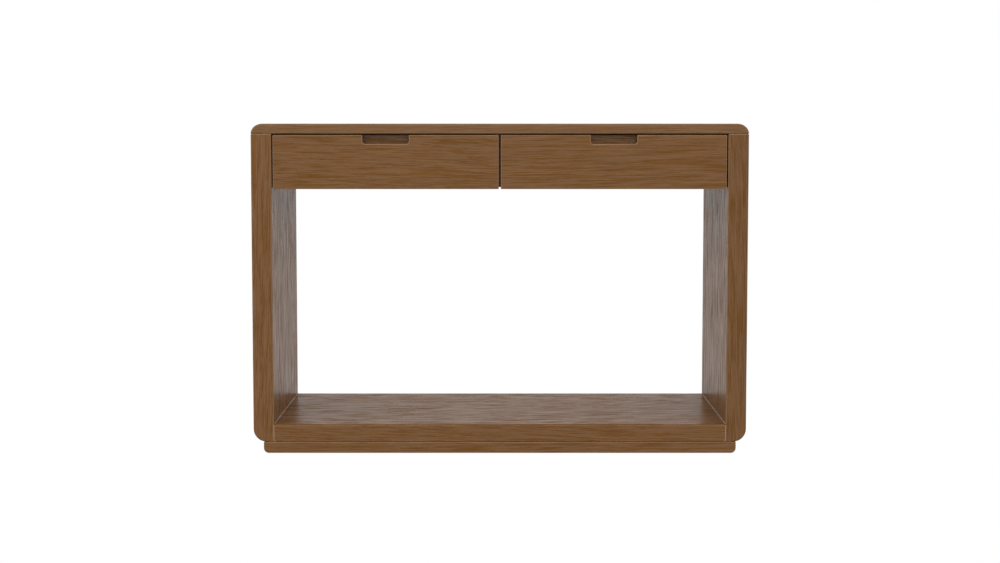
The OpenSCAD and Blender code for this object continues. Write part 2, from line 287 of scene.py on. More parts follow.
def growth_rings(tree, log):
    """Rings round the heart of the log: 0 in early wood, and 1 at the end of each year."""
    across = vector_maths(tree, "MULTIPLY", log, (0, 1, 1))
    radius = put(tree, "ShaderNodeVectorMath", {0: across}, operation="LENGTH").outputs["Value"]
    ring = maths(tree, "FRACT", maths(tree, "MULTIPLY", radius, RINGS_IN_A_METRE))
    return maths(tree, "POWER", ring, 3.0)


def end_grain(tree, grain):
    """1 on the faces that cut across the grain, and 0 on the others."""
    normal = put(tree, "ShaderNodeNewGeometry").outputs["Normal"]
    facing = put(tree, "ShaderNodeVectorMath", {
        0: normal, 1: tuple(float(axis == grain) for axis in "XYZ"),
    }, operation="DOT_PRODUCT").outputs["Value"]
    return between(tree, maths(tree, "ABSOLUTE", facing), 0.75, 0.95)


print("rings are", round(1 / RINGS_IN_A_METRE / MM, 1), "mm wide")


# %% [markdown]
# Stain takes most in the open, soft grain and least on the dense streaks. The finish over it is
# a satin lacquer: a clear coat over a nearly matt base. It sinks into the open grain and stands
# on the dense streaks, so the coat is thicker where the streaks are pale, and the shine has the
# pattern of the grain as well. The colour starts as three tones of stain over the streaks and
# fibres, and each coarser or finer detail then tints it a little.

# %% Wood finish
BROWN_STAIN = [(0.139, 0.0600, 0.0145), (0.166, 0.0725, 0.0185), (0.190, 0.0840, 0.0225)]
CLEAR_FINISH = [(0.47, 0.33, 0.19), (0.56, 0.41, 0.25), (0.64, 0.49, 0.32)]
# Bare oak, mixed into the stain: wear, and on arrises and beads a painted highlight.
BARE_OAK_AND_HIGHLIGHT = (0.46, 0.31, 0.185)
TONE_STOPS = (0.30, 0.50, 0.70)
THIN_FILM, THICK_FILM = (0.10, 0.72), (0.8, 1.0)
# How far the arrises pale towards bare oak: rubbed stain, and a painted highlight along the edges.
RUBBED_AND_HIGHLIGHT = 0.16


def tinted(tree, colour, factor, low, high):
    """Multiplies a colour by a grey that runs from low to high as factor runs from 0 to 1."""
    grey = between(tree, factor, 0.0, 1.0, low, high)
    scaled = put(tree, "ShaderNodeVectorMath", {0: colour, "Scale": grey}, operation="SCALE")
    return scaled.outputs["Vector"]


def wood(name, grain, number, stain, tone=1.0, wear_and_highlight=0.0, pore_depth=0.34, film=THIN_FILM):
    """Lacquered oak whose grain runs along X, Y or Z. number picks the place in the log.

    wear_and_highlight mixes in bare oak, for wear and, on arrises and beads, as a painted highlight.
    film is how much lacquer lies over open and over dense grain."""
    material, tree, shader = new_material(name)
    log = in_the_log(tree, grain, number)
    late_wood = growth_rings(tree, log)
    streaks = stretched(tree, log, STREAKS, 3.0, 0.65)
    fibres = stretched(tree, log, FIBRES, 3.0, 0.6)
    open_grain = stretched(tree, log, OPEN_GRAIN, 2.0, 0.6)
    broad = stretched(tree, log, BROAD, 2.0)
    pores = between(tree, stretched(tree, log, PORES, 1.0), 0.60, 0.70)
    mixed = maths(tree, "ADD", maths(tree, "MULTIPLY", streaks, 0.68),
                  maths(tree, "MULTIPLY", fibres, 0.32))

    # The stops pale towards bare oak: wear, and on arrises and beads a painted highlight.
    stops = [(place, [tone * c + wear_and_highlight * (pale_end - tone * c) for c, pale_end in zip(rgb, BARE_OAK_AND_HIGHLIGHT)])
             for place, rgb in zip(TONE_STOPS, stain)]
    colour = ramp(tree, mixed, stops)
    colour = tinted(tree, colour, late_wood, 1.03, 0.88)
    colour = tinted(tree, colour, broad, 0.95, 1.05)
    colour = tinted(tree, colour, open_grain, 0.88, 1.12)
    colour = tinted(tree, colour, pores, 1.0, 1 - pore_depth)
    colour = tinted(tree, colour, end_grain(tree, grain), 1.0, 0.80)
    tree.links.new(colour, shader.inputs["Base Color"])

    height = maths(tree, "SUBTRACT", maths(tree, "MULTIPLY", mixed, 0.8), pores)
    bump = put(tree, "ShaderNodeBump", {
        "Height": height, "Strength": 0.22, "Distance": 0.25 * MM,
    })
    tree.links.new(bump.outputs["Normal"], shader.inputs["Normal"])
    shader.inputs["Roughness"].default_value = 0.6
    shader.inputs["Specular IOR Level"].default_value = 0.0
    shader.inputs["Coat Roughness"].default_value = 0.3
    tree.links.new(between(tree, streaks, 0.42, 0.53, *film), shader.inputs["Coat Weight"])
    return material


def wood_pair(name, grain, number, stain=BROWN_STAIN, faded_and_sheen=0.0, film=THIN_FILM, **finish):
    """The wood of a board's faces and of its arrises, from one place in the log. The arrises are
    paled, partly as rubbed stain and partly as a painted highlight.

    faded_and_sheen is how much bare oak shows through on the faces: wear, and a painted sheen."""
    faces = wood(name, grain, number, stain, wear_and_highlight=faded_and_sheen, film=film, **finish)
    arrises = wood(name + "_arris", grain, number, stain, wear_and_highlight=RUBBED_AND_HIGHLIGHT, film=THICK_FILM, **finish)
    return faces, arrises


BROWN = {axis: wood_pair("brown_oak_" + axis.lower(), axis, 20 + k) for k, axis in enumerate("XYZ")}
PALE = {axis: wood_pair("pale_oak_" + axis.lower(), axis, 30 + k, CLEAR_FINISH, pore_depth=0.2)
        for k, axis in enumerate("XYZ")}
print("materials so far:", len(bpy.data.materials))


# %% [markdown]
# Metal and plastic are simpler. Rolled steel shows faint lines along the roll and small changes
# in how polished it is. Moulded nylon is dark, soft in its shine and slightly uneven.

# %% Metal and nylon
def metal(name, colour, rough_low, rough_high, lines=(60, 2, 900)):
    """Plated steel with roll lines along Y and a slightly uneven polish."""
    material, tree, shader = new_material(name)
    coords = put(tree, "ShaderNodeTexCoord").outputs["Object"]
    drawn = stretched(tree, coords, lines, 3.0)
    cloud = stretched(tree, coords, (40, 40, 40), 2.0)
    tint = tinted(tree, ramp(tree, cloud, [(0.3, [c * 0.88 for c in colour]), (0.7, colour)]),
                  drawn, 0.93, 1.04)
    tree.links.new(tint, shader.inputs["Base Color"])
    tree.links.new(between(tree, drawn, 0.0, 1.0, rough_low, rough_high),
                   shader.inputs["Roughness"])
    shader.inputs["Metallic"].default_value = 1.0
    return material


def moulded(name, colour):
    """Moulded plastic with the fine grain of its mould."""
    material, tree, shader = new_material(name)
    coords = put(tree, "ShaderNodeTexCoord").outputs["Object"]
    grains = stretched(tree, coords, (700, 700, 700), 2.0)
    tree.links.new(ramp(tree, grains, [(0.3, [c * 0.8 for c in colour]), (0.7, colour)]),
                   shader.inputs["Base Color"])
    bump = put(tree, "ShaderNodeBump", {"Height": grains, "Strength": 0.15, "Distance": 0.1 * MM})
    tree.links.new(bump.outputs["Normal"], shader.inputs["Normal"])
    shader.inputs["Roughness"].default_value = 0.5
    return material


ZINC = metal("zinc_plate", (0.60, 0.61, 0.63), 0.24, 0.38)
SCREW = metal("screw_zinc", (0.30, 0.29, 0.27), 0.30, 0.42, (300, 300, 300))
CAGE = metal("cage_steel", (0.42, 0.42, 0.43), 0.34, 0.46)
NYLON = moulded("glide_nylon", (0.035, 0.033, 0.031))
print("metal and plastic:", [m.name for m in (ZINC, SCREW, CAGE, NYLON)])


# %% [markdown]
# ## Boards
#
# A board starts as a cube, added at its real place and scaled to its real size. Applying the
# transform puts both into the mesh, so the object itself stays at the origin. The cube gets two
# material slots at once, for its faces and for its arrises, because a bevel can only put its
# new faces in a slot that exists.

# %% A board's first cube
def only(piece):
    """Makes one piece the only selected and the active object."""
    bpy.ops.object.select_all(action="DESELECT")
    piece.select_set(True)
    bpy.context.view_layer.objects.active = piece


def add_cube(name, low, high):
    """A cube between two corners, with its place applied, and slots for faces and arrises."""
    low, high = Vector(low), Vector(high)
    bpy.ops.object.select_all(action="DESELECT")
    bpy.ops.mesh.primitive_cube_add(size=1, location=(low + high) / 2)
    piece = bpy.context.object
    piece.name = piece.data.name = name
    piece.scale = high - low
    bpy.ops.object.transform_apply(location=True, rotation=True, scale=True)
    for material in BROWN["X"]:
        piece.data.materials.append(material)
    return piece


# %% [markdown]
# By hand one would click on the edges to round. In a script they are picked by their place: a
# small test looks at the two ends of each edge, within a tenth of a millimetre, and says whether
# it is wanted. Edge mode and a bevel then do what they do by hand.

# %% Picking and rounding edges
CLOSE = 0.1 * MM


def pick(piece, mode, wanted):
    """In edit mode, selects the vertices or edges whose ends make wanted(a, b) true."""
    only(piece)
    bpy.ops.object.mode_set(mode="EDIT")
    bpy.ops.mesh.select_mode(type=mode)
    bpy.ops.mesh.select_all(action="DESELECT")
    mesh = bmesh.from_edit_mesh(piece.data)
    for part in mesh.edges if mode == "EDGE" else mesh.verts:
        ends = part.verts if mode == "EDGE" else (part, part)
        part.select_set(wanted(ends[0].co, ends[-1].co))
    mesh.select_flush_mode()
    bmesh.update_edit_mesh(piece.data)


def along(axis):
    """A test for edges that run along one axis: 0, 1 or 2 for X, Y or Z."""
    return lambda a, b: (b - a).length > 0 and abs((b - a).normalized()[axis]) > 0.99


def round_edges(piece, wanted, radius, segments=20, material=-1):
    """Rounds the edges that wanted picks, to a radius."""
    pick(piece, "EDGE", wanted)
    bpy.ops.mesh.bevel(offset=radius, segments=segments, affect="EDGES", material=material)
    bpy.ops.object.mode_set(mode="OBJECT")


# %% [markdown]
# What makes a block of wood a board is its edges: a joiner eases every arris with a small round,
# which catches the light as a thin bright line. In edit mode that is one bevel on all sharp
# edges. The bevel's faces go in the second slot, where the stain is paler: partly rubbed thinner,
# and partly a painted highlight that brightens the line.

# %% Arrises
ARRIS = 1.7 * MM
SHARP = math.radians(35)


def ease_arrises(piece, radius=ARRIS, segments=3):
    """Rounds every sharp edge a little, or chamfers it with one segment, in the second material."""
    only(piece)
    bpy.ops.object.mode_set(mode="EDIT")
    bpy.ops.mesh.select_mode(type="EDGE")
    bpy.ops.mesh.select_all(action="DESELECT")
    bpy.ops.mesh.edges_select_sharp(sharpness=SHARP)
    bpy.ops.mesh.bevel(offset=radius, segments=segments, affect="EDGES", material=1)
    bpy.ops.object.mode_set(mode="OBJECT")


# %% [markdown]
# The last steps are the same for every piece. Slivers that the bevels left are merged away. Then
# the rounds are shaded smooth, and weighted normals keep the wide faces flat next to them.

# %% Finish
SLIVER = 0.005 * MM
SMOOTH = math.radians(38)


def modifier(piece, kind, **settings):
    """Adds a modifier and applies it."""
    only(piece)
    made = piece.modifiers.new(kind.lower(), kind)
    for name, value in settings.items():
        setattr(made, name, value)
    bpy.ops.object.modifier_apply(modifier=made.name)


def smooth(piece):
    """Drops slivers, then shades the rounds smooth and keeps the wide faces flat."""
    only(piece)
    bpy.ops.object.mode_set(mode="EDIT")
    bpy.ops.mesh.select_all(action="SELECT")
    bpy.ops.mesh.remove_doubles(threshold=SLIVER)
    bpy.ops.mesh.dissolve_degenerate(threshold=SLIVER)
    bpy.ops.object.mode_set(mode="OBJECT")
    bpy.ops.object.shade_smooth_by_angle(angle=SMOOTH)
    modifier(piece, "WEIGHTED_NORMAL", keep_sharp=True)


def dress(piece, *materials):
    """Sets the materials of the faces and of the arrises. A single material serves for both."""
    slots = piece.data.materials
    while len(slots) < 2:
        slots.append(None)
    for k in range(2):
        slots[k] = materials[min(k, len(materials) - 1)]


def finish_piece(piece, node, body, slot, *materials):
    """Shades a piece, gives it its materials, hangs it on the body it rides on, and hides the CAD
    part it stands for.
    """
    smooth(piece)
    dress(piece, *materials)
    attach(piece, body)
    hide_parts(node)


# %% [markdown]
# ### Top
#
# The top runs over the sides. Its two ends turn down in a quarter round almost as deep as the
# board is thick, drawn out a little along the top, so that the end of the table reads as a bent
# line. The outline of its front and back, where arms rest, gets a fuller round than the rest.
# The lower edges meet other boards in a joint, and are chamfered, so that the two chamfers make
# a fine V that hides the glue line. A top wears most, so it has a fuller coat of lacquer, and
# its stain is paled a little, as wear and as a painted sheen on its front.

# %% Top
TOP_R = 24.6 * MM
TOP_RUN = 29 * MM
ROUND = 5 * MM


def stretch_points(piece, wanted, factors, centre):
    """Scales the vertices that wanted picks, about a centre."""
    pick(piece, "VERT", wanted)
    bpy.ops.transform.resize(value=factors, center_override=centre)
    bpy.ops.object.mode_set(mode="OBJECT")


def on_front_or_back(high, low_z):
    """A test for edges of a board's front or back outline that reach higher than low_z."""
    return lambda a, b: (abs(a.y) > high.y - CLOSE and abs(b.y) > high.y - CLOSE
                         and a.y * b.y > 0 and max(a.z, b.z) > low_z + CLOSE)


top_low, top_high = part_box("top_panel")
top = add_cube("top_board", top_low, top_high)
round_edges(top, lambda a, b: along(1)(a, b) and a.z > top_high.z - MM, TOP_R)
for end_x in (top_low.x, top_high.x):
    stretch_points(top, lambda a, b: abs(a.x - end_x) < TOP_R + CLOSE,
                   (TOP_RUN / TOP_R, 1, 1), (end_x, 0, 0))
round_edges(top, on_front_or_back(top_high, top_low.z), ROUND, 5)
ease_arrises(top, segments=1)
# The top's stain is paled by 0.04: wear, and a painted sheen on its front.
finish_piece(top, "top_panel", "case", "stained_wood",
             *wood_pair("top_oak", "X", 1, faded_and_sheen=0.04, film=(0.3, 0.8)))
print("top board:", len(top.data.polygons), "faces")

# %% [markdown]
# ### Slab sides and shelf
#
# Each side is a thick slab. Its lower outer edge is rounded to a larger radius than the top.
# Where it meets the end of the shelf, its foot swells inwards by a few millimetres along an
# arc. Bisecting the face gives the arc its bend, and a wide bevel on the bend makes it round.

# %% Sides
SIDE_R = 31.8 * MM
TOE = 3.24 * MM
BEND = 5.72 * MM
BEND_ROUND = 5 * MM
shelf_low, shelf_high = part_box("bottom_shelf")


def bisect(piece, height):
    """Adds a line of edges round a piece at a height."""
    only(piece)
    bpy.ops.object.mode_set(mode="EDIT")
    bpy.ops.mesh.select_all(action="SELECT")
    bpy.ops.mesh.bisect(plane_co=(0, 0, height), plane_no=(0, 0, 1))
    bpy.ops.object.mode_set(mode="OBJECT")


def move_points(piece, wanted, offset):
    """Moves the vertices that wanted picks."""
    pick(piece, "VERT", wanted)
    bpy.ops.transform.translate(value=offset)
    bpy.ops.object.mode_set(mode="OBJECT")


def add_toe(piece, face_x, offset):
    """Moves the foot of one upright face, and rounds the bend where the move starts."""
    base = shelf_low.z
    bisect(piece, base + BEND)
    on_face = lambda p: abs(p.x - face_x) < CLOSE
    move_points(piece, lambda a, b: on_face(a) and a.z < base + MM, (offset, 0, 0))
    round_edges(piece, lambda a, b: on_face(a) and on_face(b) and along(1)(a, b)
                and abs(a.z - base - BEND) < CLOSE, BEND_ROUND, 6)


def slab_side(side, number, tone):
    """A slab with a rounded lower outer corner and a toe. tone darkens or lightens its stain."""
    node = side + "_side_panel"
    low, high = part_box(node)
    right = side == "right"
    inner = shelf_high.x if right else shelf_low.x
    outer = high.x if right else low.x
    slab = add_cube(side + "_slab_side", (min(inner, outer), low.y, low.z),
                    (max(inner, outer), high.y, high.z))
    round_edges(slab, lambda a, b: along(1)(a, b) and abs(a.x - outer) < MM and a.z < low.z + MM,
                SIDE_R)
    on_outline = on_front_or_back(high, low.z - MM)
    off_inner_face = lambda p: abs(p.x - inner) > CLOSE
    under_top = lambda a, b: max(a.z, b.z) > high.z - CLOSE and abs(a.z - b.z) < CLOSE
    round_edges(slab, lambda a, b: on_outline(a, b) and off_inner_face(a) and off_inner_face(b)
                and not under_top(a, b), ROUND, 5)
    add_toe(slab, inner, -TOE if right else TOE)
    ease_arrises(slab, segments=1)
    finish_piece(slab, node, "case", "stained_wood",
                 *wood_pair(side + "_side_oak", "Z", number, tone=tone))
    print(slab.name, len(slab.data.polygons), "faces")


slab_side("left", 2, 1.0)
# The right side's stain is darkened to 0.94, a painted shade for the right side being lit a little
# less.
slab_side("right", 3, 0.94)

# %% [markdown]
# The shelf stands between the toes. In the inner corner between shelf and side lies a thin cove,
# where filler and lacquer gather. It is a small bar with one bevelled edge, whose low profile
# makes the bevel hollow.

# %% Shelf
COVE = 1.8 * MM
COVE_DEPTH = 2 * MM
HOLLOW = 0.15


def join(name, pieces):
    """Joins pieces into one object."""
    bpy.ops.object.select_all(action="DESELECT")
    for piece in pieces:
        piece.select_set(True)
    bpy.context.view_layer.objects.active = pieces[0]
    if len(pieces) > 1:
        bpy.ops.object.join()
    pieces[0].name = pieces[0].data.name = name
    return pieces[0]


def cove(face_x, turn):
    """A thin hollow strip on the shelf along one side. turn points away from the side."""
    xs = sorted((face_x, face_x + turn * COVE))
    strip = add_cube("cove", (xs[0], shelf_low.y + ROUND, shelf_high.z - COVE_DEPTH),
                     (xs[1], shelf_high.y - ROUND, shelf_high.z + COVE))
    pick(strip, "EDGE", lambda a, b: along(1)(a, b) and a.z > shelf_high.z
         and abs(a.x - face_x) > MM)
    bpy.ops.mesh.bevel(offset=0.95 * COVE, segments=4, profile=HOLLOW, affect="EDGES")
    bpy.ops.object.mode_set(mode="OBJECT")
    return strip


shelf = add_cube("shelf_board", shelf_low, shelf_high)
add_toe(shelf, shelf_low.x, TOE)
add_toe(shelf, shelf_high.x, -TOE)
round_edges(shelf, lambda a, b: along(0)(a, b) and a.z > shelf_high.z - MM, ROUND, 5)
ease_arrises(shelf, segments=1)
shelf = join("shelf_board", [shelf, cove(shelf_low.x, 1), cove(shelf_high.x, -1)])
finish_piece(shelf, "bottom_shelf", "case", "stained_wood", *wood_pair("shelf_oak", "X", 4))
print("shelf:", len(shelf.data.polygons), "faces")


# %% [markdown]
# The chamfered joints that face the room are filled with a thin bead of pale oak, a painted
# highlight: its pale colour draws a fine light line where the top sits on the sides and where the
# shelf meets them. A bead is a thin bar with rounded long edges. The upright ones follow the toe,
# so they are bisected twice, and the lower points are moved sideways.

# %% Pale beads: painted highlight lines in the joints
BEAD_HALF = 1.35 * MM
BEAD_BACK, BEAD_DEEP = 0.2 * MM, 2.9 * MM
TOE_AT_FOOT, TOE_AT_BEND = 0.84 * TOE, 0.25 * TOE


def pale_highlight_bead(low, high, axis):
    """A bar along an axis, with nearly half-round edges."""
    low, high = Vector(low), Vector(high)
    bead = add_cube("pale_highlight_bead", low, high)
    round_edges(bead, along(axis), 0.45 * min(high - low), 3)
    return bead


def top_bead(edge_x, outwards, ys):
    """A bead under the top, along the top end of one side."""
    xs = sorted((edge_x + outwards * MM, outwards * (top_high.x - ROUND)))
    return pale_highlight_bead((xs[0], ys[0], top_low.z - BEAD_HALF), (xs[1], ys[1], top_low.z + BEAD_HALF), 0)


def foot_bead(edge_x, outwards, ys):
    """A bead between one side and the end of the shelf, which leans with the toe."""
    bead = pale_highlight_bead((edge_x - BEAD_HALF, ys[0], shelf_low.z + MM),
                  (edge_x + BEAD_HALF, ys[1], shelf_high.z - 2 * MM), 2)
    bisect(bead, shelf_low.z + 2 * BEND)
    bisect(bead, shelf_low.z + BEND)
    move_points(bead, lambda a, b: a.z < shelf_low.z + 2 * MM, (-outwards * TOE_AT_FOOT, 0, 0))
    move_points(bead, lambda a, b: abs(a.z - shelf_low.z - BEND) < MM,
                (-outwards * TOE_AT_BEND, 0, 0))
    return bead


beads = []
for face_y in (top_low.y, top_high.y):
    inwards = -math.copysign(1, face_y)
    ys = sorted((face_y + inwards * BEAD_BACK, face_y + inwards * BEAD_DEEP))
    for edge_x in (shelf_low.x, shelf_high.x):
        outwards = math.copysign(1, edge_x)
        beads.append(top_bead(edge_x, outwards, ys))
        beads.append(foot_bead(edge_x, outwards, ys))
pale_highlight_beads = join("pale_highlight_beads", beads)
smooth(pale_highlight_beads)
# The beads' pale colour is a painted highlight: fine light lines along the joints.
dress(pale_highlight_beads, wood("pale_highlight_bead", "X", 9, BROWN_STAIN, wear_and_highlight=0.6, film=(0.6, 0.9)))
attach(pale_highlight_beads, "case")
print("filler beads:", len(beads))

# %% [markdown]
# ### Plinth
#
# The plinth stands back from the ends of the table. Its front and back boards run through, and
# their lower corners are rounded. Two cross rails and four glued corner blocks carry the shelf.
# The front board can be seen, so it gets a place in the log of its own. The others take the
# common brown oak of their direction.

# %% Plinth
PLINTH_R = 12.7 * MM
CROSS_ARRIS = 1.6 * MM


def plinth_board(part, materials):
    """One board of the plinth, with its outer lower corners rounded."""
    node = f"plinth_{part}_rail"
    low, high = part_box(node)
    board = add_cube(f"plinth_{part}_board", low, high)
    edge = max(abs(low.x), abs(high.x))
    round_edges(board, lambda a, b: along(1)(a, b) and abs(a.x) > edge - MM and a.z < low.z + MM,
                PLINTH_R, 12)
    ease_arrises(board)
    finish_piece(board, node, "case", "stained_wood", *materials)


plinth_board("front", wood_pair("plinth_oak", "X", 5))
plinth_board("back", BROWN["X"])
for part in ("left", "right"):
    plinth_board(part, BROWN["Y"])
    node = f"plinth_{part}_cross_rail"
    cross_rail = add_cube(f"{part}_cross_rail", *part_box(node))
    ease_arrises(cross_rail, CROSS_ARRIS)
    finish_piece(cross_rail, node, "case", "drawer_wood", *PALE["Y"])
print("plinth boards and cross rails:", 4, "and", 2)

# %% [markdown]
# Some CAD nodes hold many small parts. The helper below finds each separate solid in a node, so
# that a block, a screw or a glide can be modelled once and set in every place.

# %% Places of small parts
SAME_POINT = 0.001 * MM


def solids(node):
    """The vertices of each separate solid of a CAD node, as one array per solid."""
    mesh = bmesh.new()
    mesh.from_mesh(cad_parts[node].data)
    bmesh.ops.remove_doubles(mesh, verts=mesh.verts, dist=SAME_POINT)
    found, seen = [], set()
    for start in mesh.verts:
        if start in seen:
            continue
        seen.add(start)
        stack, points = [start], []
        while stack:
            vert = stack.pop()
            points.append(vert.co[:])
            for edge in vert.link_edges:
                other = edge.other_vert(vert)
                if other not in seen:
                    seen.add(other)
                    stack.append(other)
        found.append(np.array(points))
    mesh.free()
    return found


def copy_to(master, matrix):
    """A copy of a piece, with its own mesh, moved in its mesh."""
    copy = master.copy()
    copy.data = master.data.copy()
    scene.collection.objects.link(copy)
    copy.data.transform(matrix)
    return copy


def set_out(name, master, matrices):
    """Puts a copy of a piece at every place, as one object, and removes the master."""
    copies = [copy_to(master, matrix) for matrix in matrices]
    bpy.data.objects.remove(master)
    return join(name, copies)


print("corner blocks to set:", len(solids("plinth_corner_blocks")))

# %% [markdown]
# A corner block is glued into each inside corner of the plinth to keep it square. It is a block
# sawn in half from corner to corner. Bisect makes that cut: it fills the sawn face and clears
# the half that looks away from the corner.

# %% Corner blocks
BLOCK_ARRIS = 1.2 * MM


def corner_block(low, high):
    """A block between two corners, sawn slantwise. The half nearest the plinth's corner stays."""
    block = add_cube("corner_block", low, high)
    centre = (low + high) / 2
    towards_corner = Vector((math.copysign(1, centre.x), math.copysign(1, centre.y), 0))
    only(block)
    bpy.ops.object.mode_set(mode="EDIT")
    bpy.ops.mesh.select_all(action="SELECT")
    bpy.ops.mesh.bisect(plane_co=centre, plane_no=towards_corner.normalized(),
                        use_fill=True, clear_inner=True)
    bpy.ops.object.mode_set(mode="OBJECT")
    ease_arrises(block, BLOCK_ARRIS)
    return block


blocks = [corner_block(Vector(points.min(0)), Vector(points.max(0)))
          for points in solids("plinth_corner_blocks")]
corner_blocks = join("corner_blocks", blocks)
finish_piece(corner_blocks, "plinth_corner_blocks", "case", "drawer_wood", *PALE["X"])
print("corner blocks:", len(blocks))

# %% [markdown]
# ### Drawer case
#
# Behind the fronts a floor, a back and a middle divider make the case that the slides hang in.
# They are plain boards with small arrises, brown like the rest, as they show when a drawer is
# out and from behind.

# %% Drawer case
CASE_ARRIS = 0.8 * MM
CASE_GRAIN = {"case_floor": "X", "back_panel": "X", "centre_divider": "Y"}
for node, grain in CASE_GRAIN.items():
    board = add_cube(node + "_board", *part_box(node))
    ease_arrises(board, CASE_ARRIS)
    finish_piece(board, node, "case", "stained_wood", *BROWN[grain])
print("case boards:", list(CASE_GRAIN))


# %% [markdown]
# ### Drawer fronts
#
# A front is a wide board with a notch cut in its top edge for the fingers. Behind the notch a
# groove drops a little lower, so that fingertips can hook over the edge. Both are cut with
# boolean modifiers, and the bevel then runs round the notch like a router bit with a bearing.

# %% Drawer fronts
NOTCH_W, NOTCH_H, NOTCH_R = 113 * MM, 21.6 * MM, 6.5 * MM
LIP_R = 2.4 * MM
GROOVE = 12 * MM


def combine(piece, operation, *others):
    """Cuts the others out of a piece (DIFFERENCE) or grows them on it (UNION)."""
    for other in others:
        modifier(piece, "BOOLEAN", operation=operation, solver="EXACT", object=other)
        bpy.data.objects.remove(other)


def drawer_front(side, number):
    """A front with its finger notch and the groove behind it. number is a place in the log."""
    node = side + "_drawer_front"
    low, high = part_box(node)
    left = (low.x + high.x - NOTCH_W) / 2
    right = left + NOTCH_W
    notch_z = high.z - NOTCH_H
    front = add_cube(side + "_front_board", low, high)
    notch = add_cube("notch", (left, low.y - GROOVE, notch_z),
                     (right, high.y + GROOVE, high.z + GROOVE))
    round_edges(notch, lambda a, b: along(1)(a, b) and a.z < notch_z + MM, NOTCH_R, 8)
    groove = add_cube("groove", (left, high.y - GROOVE, notch_z - GROOVE),
                      (right, high.y + GROOVE, notch_z + NOTCH_R))
    combine(front, "DIFFERENCE", notch, groove)
    in_notch = lambda p: (left - MM < p.x < right + MM and p.z > notch_z - MM
                          and p.y < low.y + CLOSE)
    round_edges(front, lambda a, b: in_notch(a) and in_notch(b)
                and min(a.z, b.z) <= high.z - CLOSE, LIP_R, 3, 1)
    ease_arrises(front)
    finish_piece(front, node, side + "_drawer", "stained_wood",
                 *wood_pair(side + "_front_oak", "X", number))
    print(front.name, len(front.data.polygons), "faces")


drawer_front("left", 6)
drawer_front("right", 7)

# %% [markdown]
# ### Drawer boxes
#
# The corners of a good drawer box are dovetailed: the end of the cross board is cut into pins,
# and each side has sockets of the same shape. A pin is a small block that is narrow at the outer
# face of the cross board and wide at its inner face, so the drawer can't be pulled apart from
# the front.

# %% Dovetails
TAILS = 4
PIN_NARROW, PIN_WIDE = 3.6 * MM, 5.6 * MM


def pin_row(name, x, y, z, grow):
    """A column of dovetail pins between x[0] and x[1], from z[0] to z[1].

    y is (narrow face, wide face), and grow makes the pins longer, to cut sockets with."""
    pins = []
    outwards = math.copysign(1, y[0] - y[1])
    end = y[0] + outwards * grow
    near, far = min(end, y[1]), max(end, y[1])
    slope = (PIN_WIDE - PIN_NARROW) / abs(y[1] - y[0])
    narrow = (PIN_NARROW - slope * grow) / PIN_WIDE
    for k in range(TAILS + 1):
        centre = z[0] + k * (z[1] - z[0]) / TAILS
        below = grow if k == 0 else PIN_WIDE
        above = grow if k == TAILS else PIN_WIDE
        pin = add_cube(name, (x[0], near, centre - below), (x[1], far, centre + above))
        stretch_points(pin, lambda a, b: abs(a.y - end) < CLOSE, (1, 1, narrow), (0, 0, centre))
        pins.append(pin)
    return join(name, pins)


print("pins at each corner:", TAILS + 1)

# %% [markdown]
# The bottom of a drawer slides into a groove that runs round the four boards, a touch wider than
# the panel is thick, so that the wood can swell. So a box that is a little larger than the panel
# is cut out of each board. The sides and the back are pale wood under a clear finish, and the
# inner front is stained, because it shows through the finger notch.

# %% Drawer boxes
BOX_ARRIS, BOTTOM_ARRIS = 0.9 * MM, 0.5 * MM
GROOVE_PLAY = 0.1 * MM
PIN_ROOT = 4 * MM


def bottom_groove(body):
    """The bottom panel's box with some play on every side, to cut a groove with."""
    low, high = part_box(body + "_bottom")
    play = Vector((GROOVE_PLAY, GROOVE_PLAY, GROOVE_PLAY))
    return add_cube("groove", low - play, high + play)


def drawer_box(side):
    """Sides with sockets, cross boards with pins, and a bottom held in grooves all round."""
    body = side + "_drawer"
    sides = [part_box(f"{body}_{end}_side") for end in ("left", "right")]
    cross = {part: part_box(f"{body}_{part}") for part in ("inner_front", "back")}
    faces = {"inner_front": (cross["inner_front"][0].y, cross["inner_front"][1].y),
             "back": (cross["back"][1].y, cross["back"][0].y)}
    z = (sides[0][0].z, sides[0][1].z)
    for (low, high), end in zip(sides, ("left", "right")):
        board = add_cube(f"{body}_{end}_box_side", low, high)
        ease_arrises(board, BOX_ARRIS)
        sockets = [pin_row("sockets", (low.x - MM, high.x + MM), y, z, MM) for y in faces.values()]
        combine(board, "DIFFERENCE", *sockets, bottom_groove(body))
        finish_piece(board, f"{body}_{end}_side", body, "drawer_wood", *PALE["Y"])
    for part, (low, high) in cross.items():
        board = add_cube(f"{body}_{part}_board", low, high)
        ease_arrises(board, BOX_ARRIS)
        pins = [pin_row("pins", (sides[0][0].x, low.x + PIN_ROOT), faces[part], z, 0),
                pin_row("pins", (high.x - PIN_ROOT, sides[1][1].x), faces[part], z, 0)]
        combine(board, "UNION", *pins)
        combine(board, "DIFFERENCE", bottom_groove(body))
        inner = part == "inner_front"
        finish_piece(board, f"{body}_{part}", body, "stained_wood" if inner else "drawer_wood",
                     *(BROWN if inner else PALE)["X"])
    bottom = add_cube(body + "_bottom_panel", *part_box(body + "_bottom"))
    ease_arrises(bottom, BOTTOM_ARRIS)
    finish_piece(bottom, body + "_bottom", body, "drawer_wood", *PALE["X"])


for side in ("left", "right"):
    drawer_box(side)
print("drawer boxes:", 2, "with", 4 * (TAILS + 1), "pins each")

# %% [markdown]
# ### Slides
#
# A ball-bearing slide is three rolled steel channels, one inside the other, with two strips of
# balls between them. Each channel here is a block with its inside cut away. The corners of its
# web are rounded as they are when sheet is bent, and the outer channel has lips that hold the
# others in.

# %% Slide channels
SHEET = 1.2 * MM
LIP = 1.6 * MM


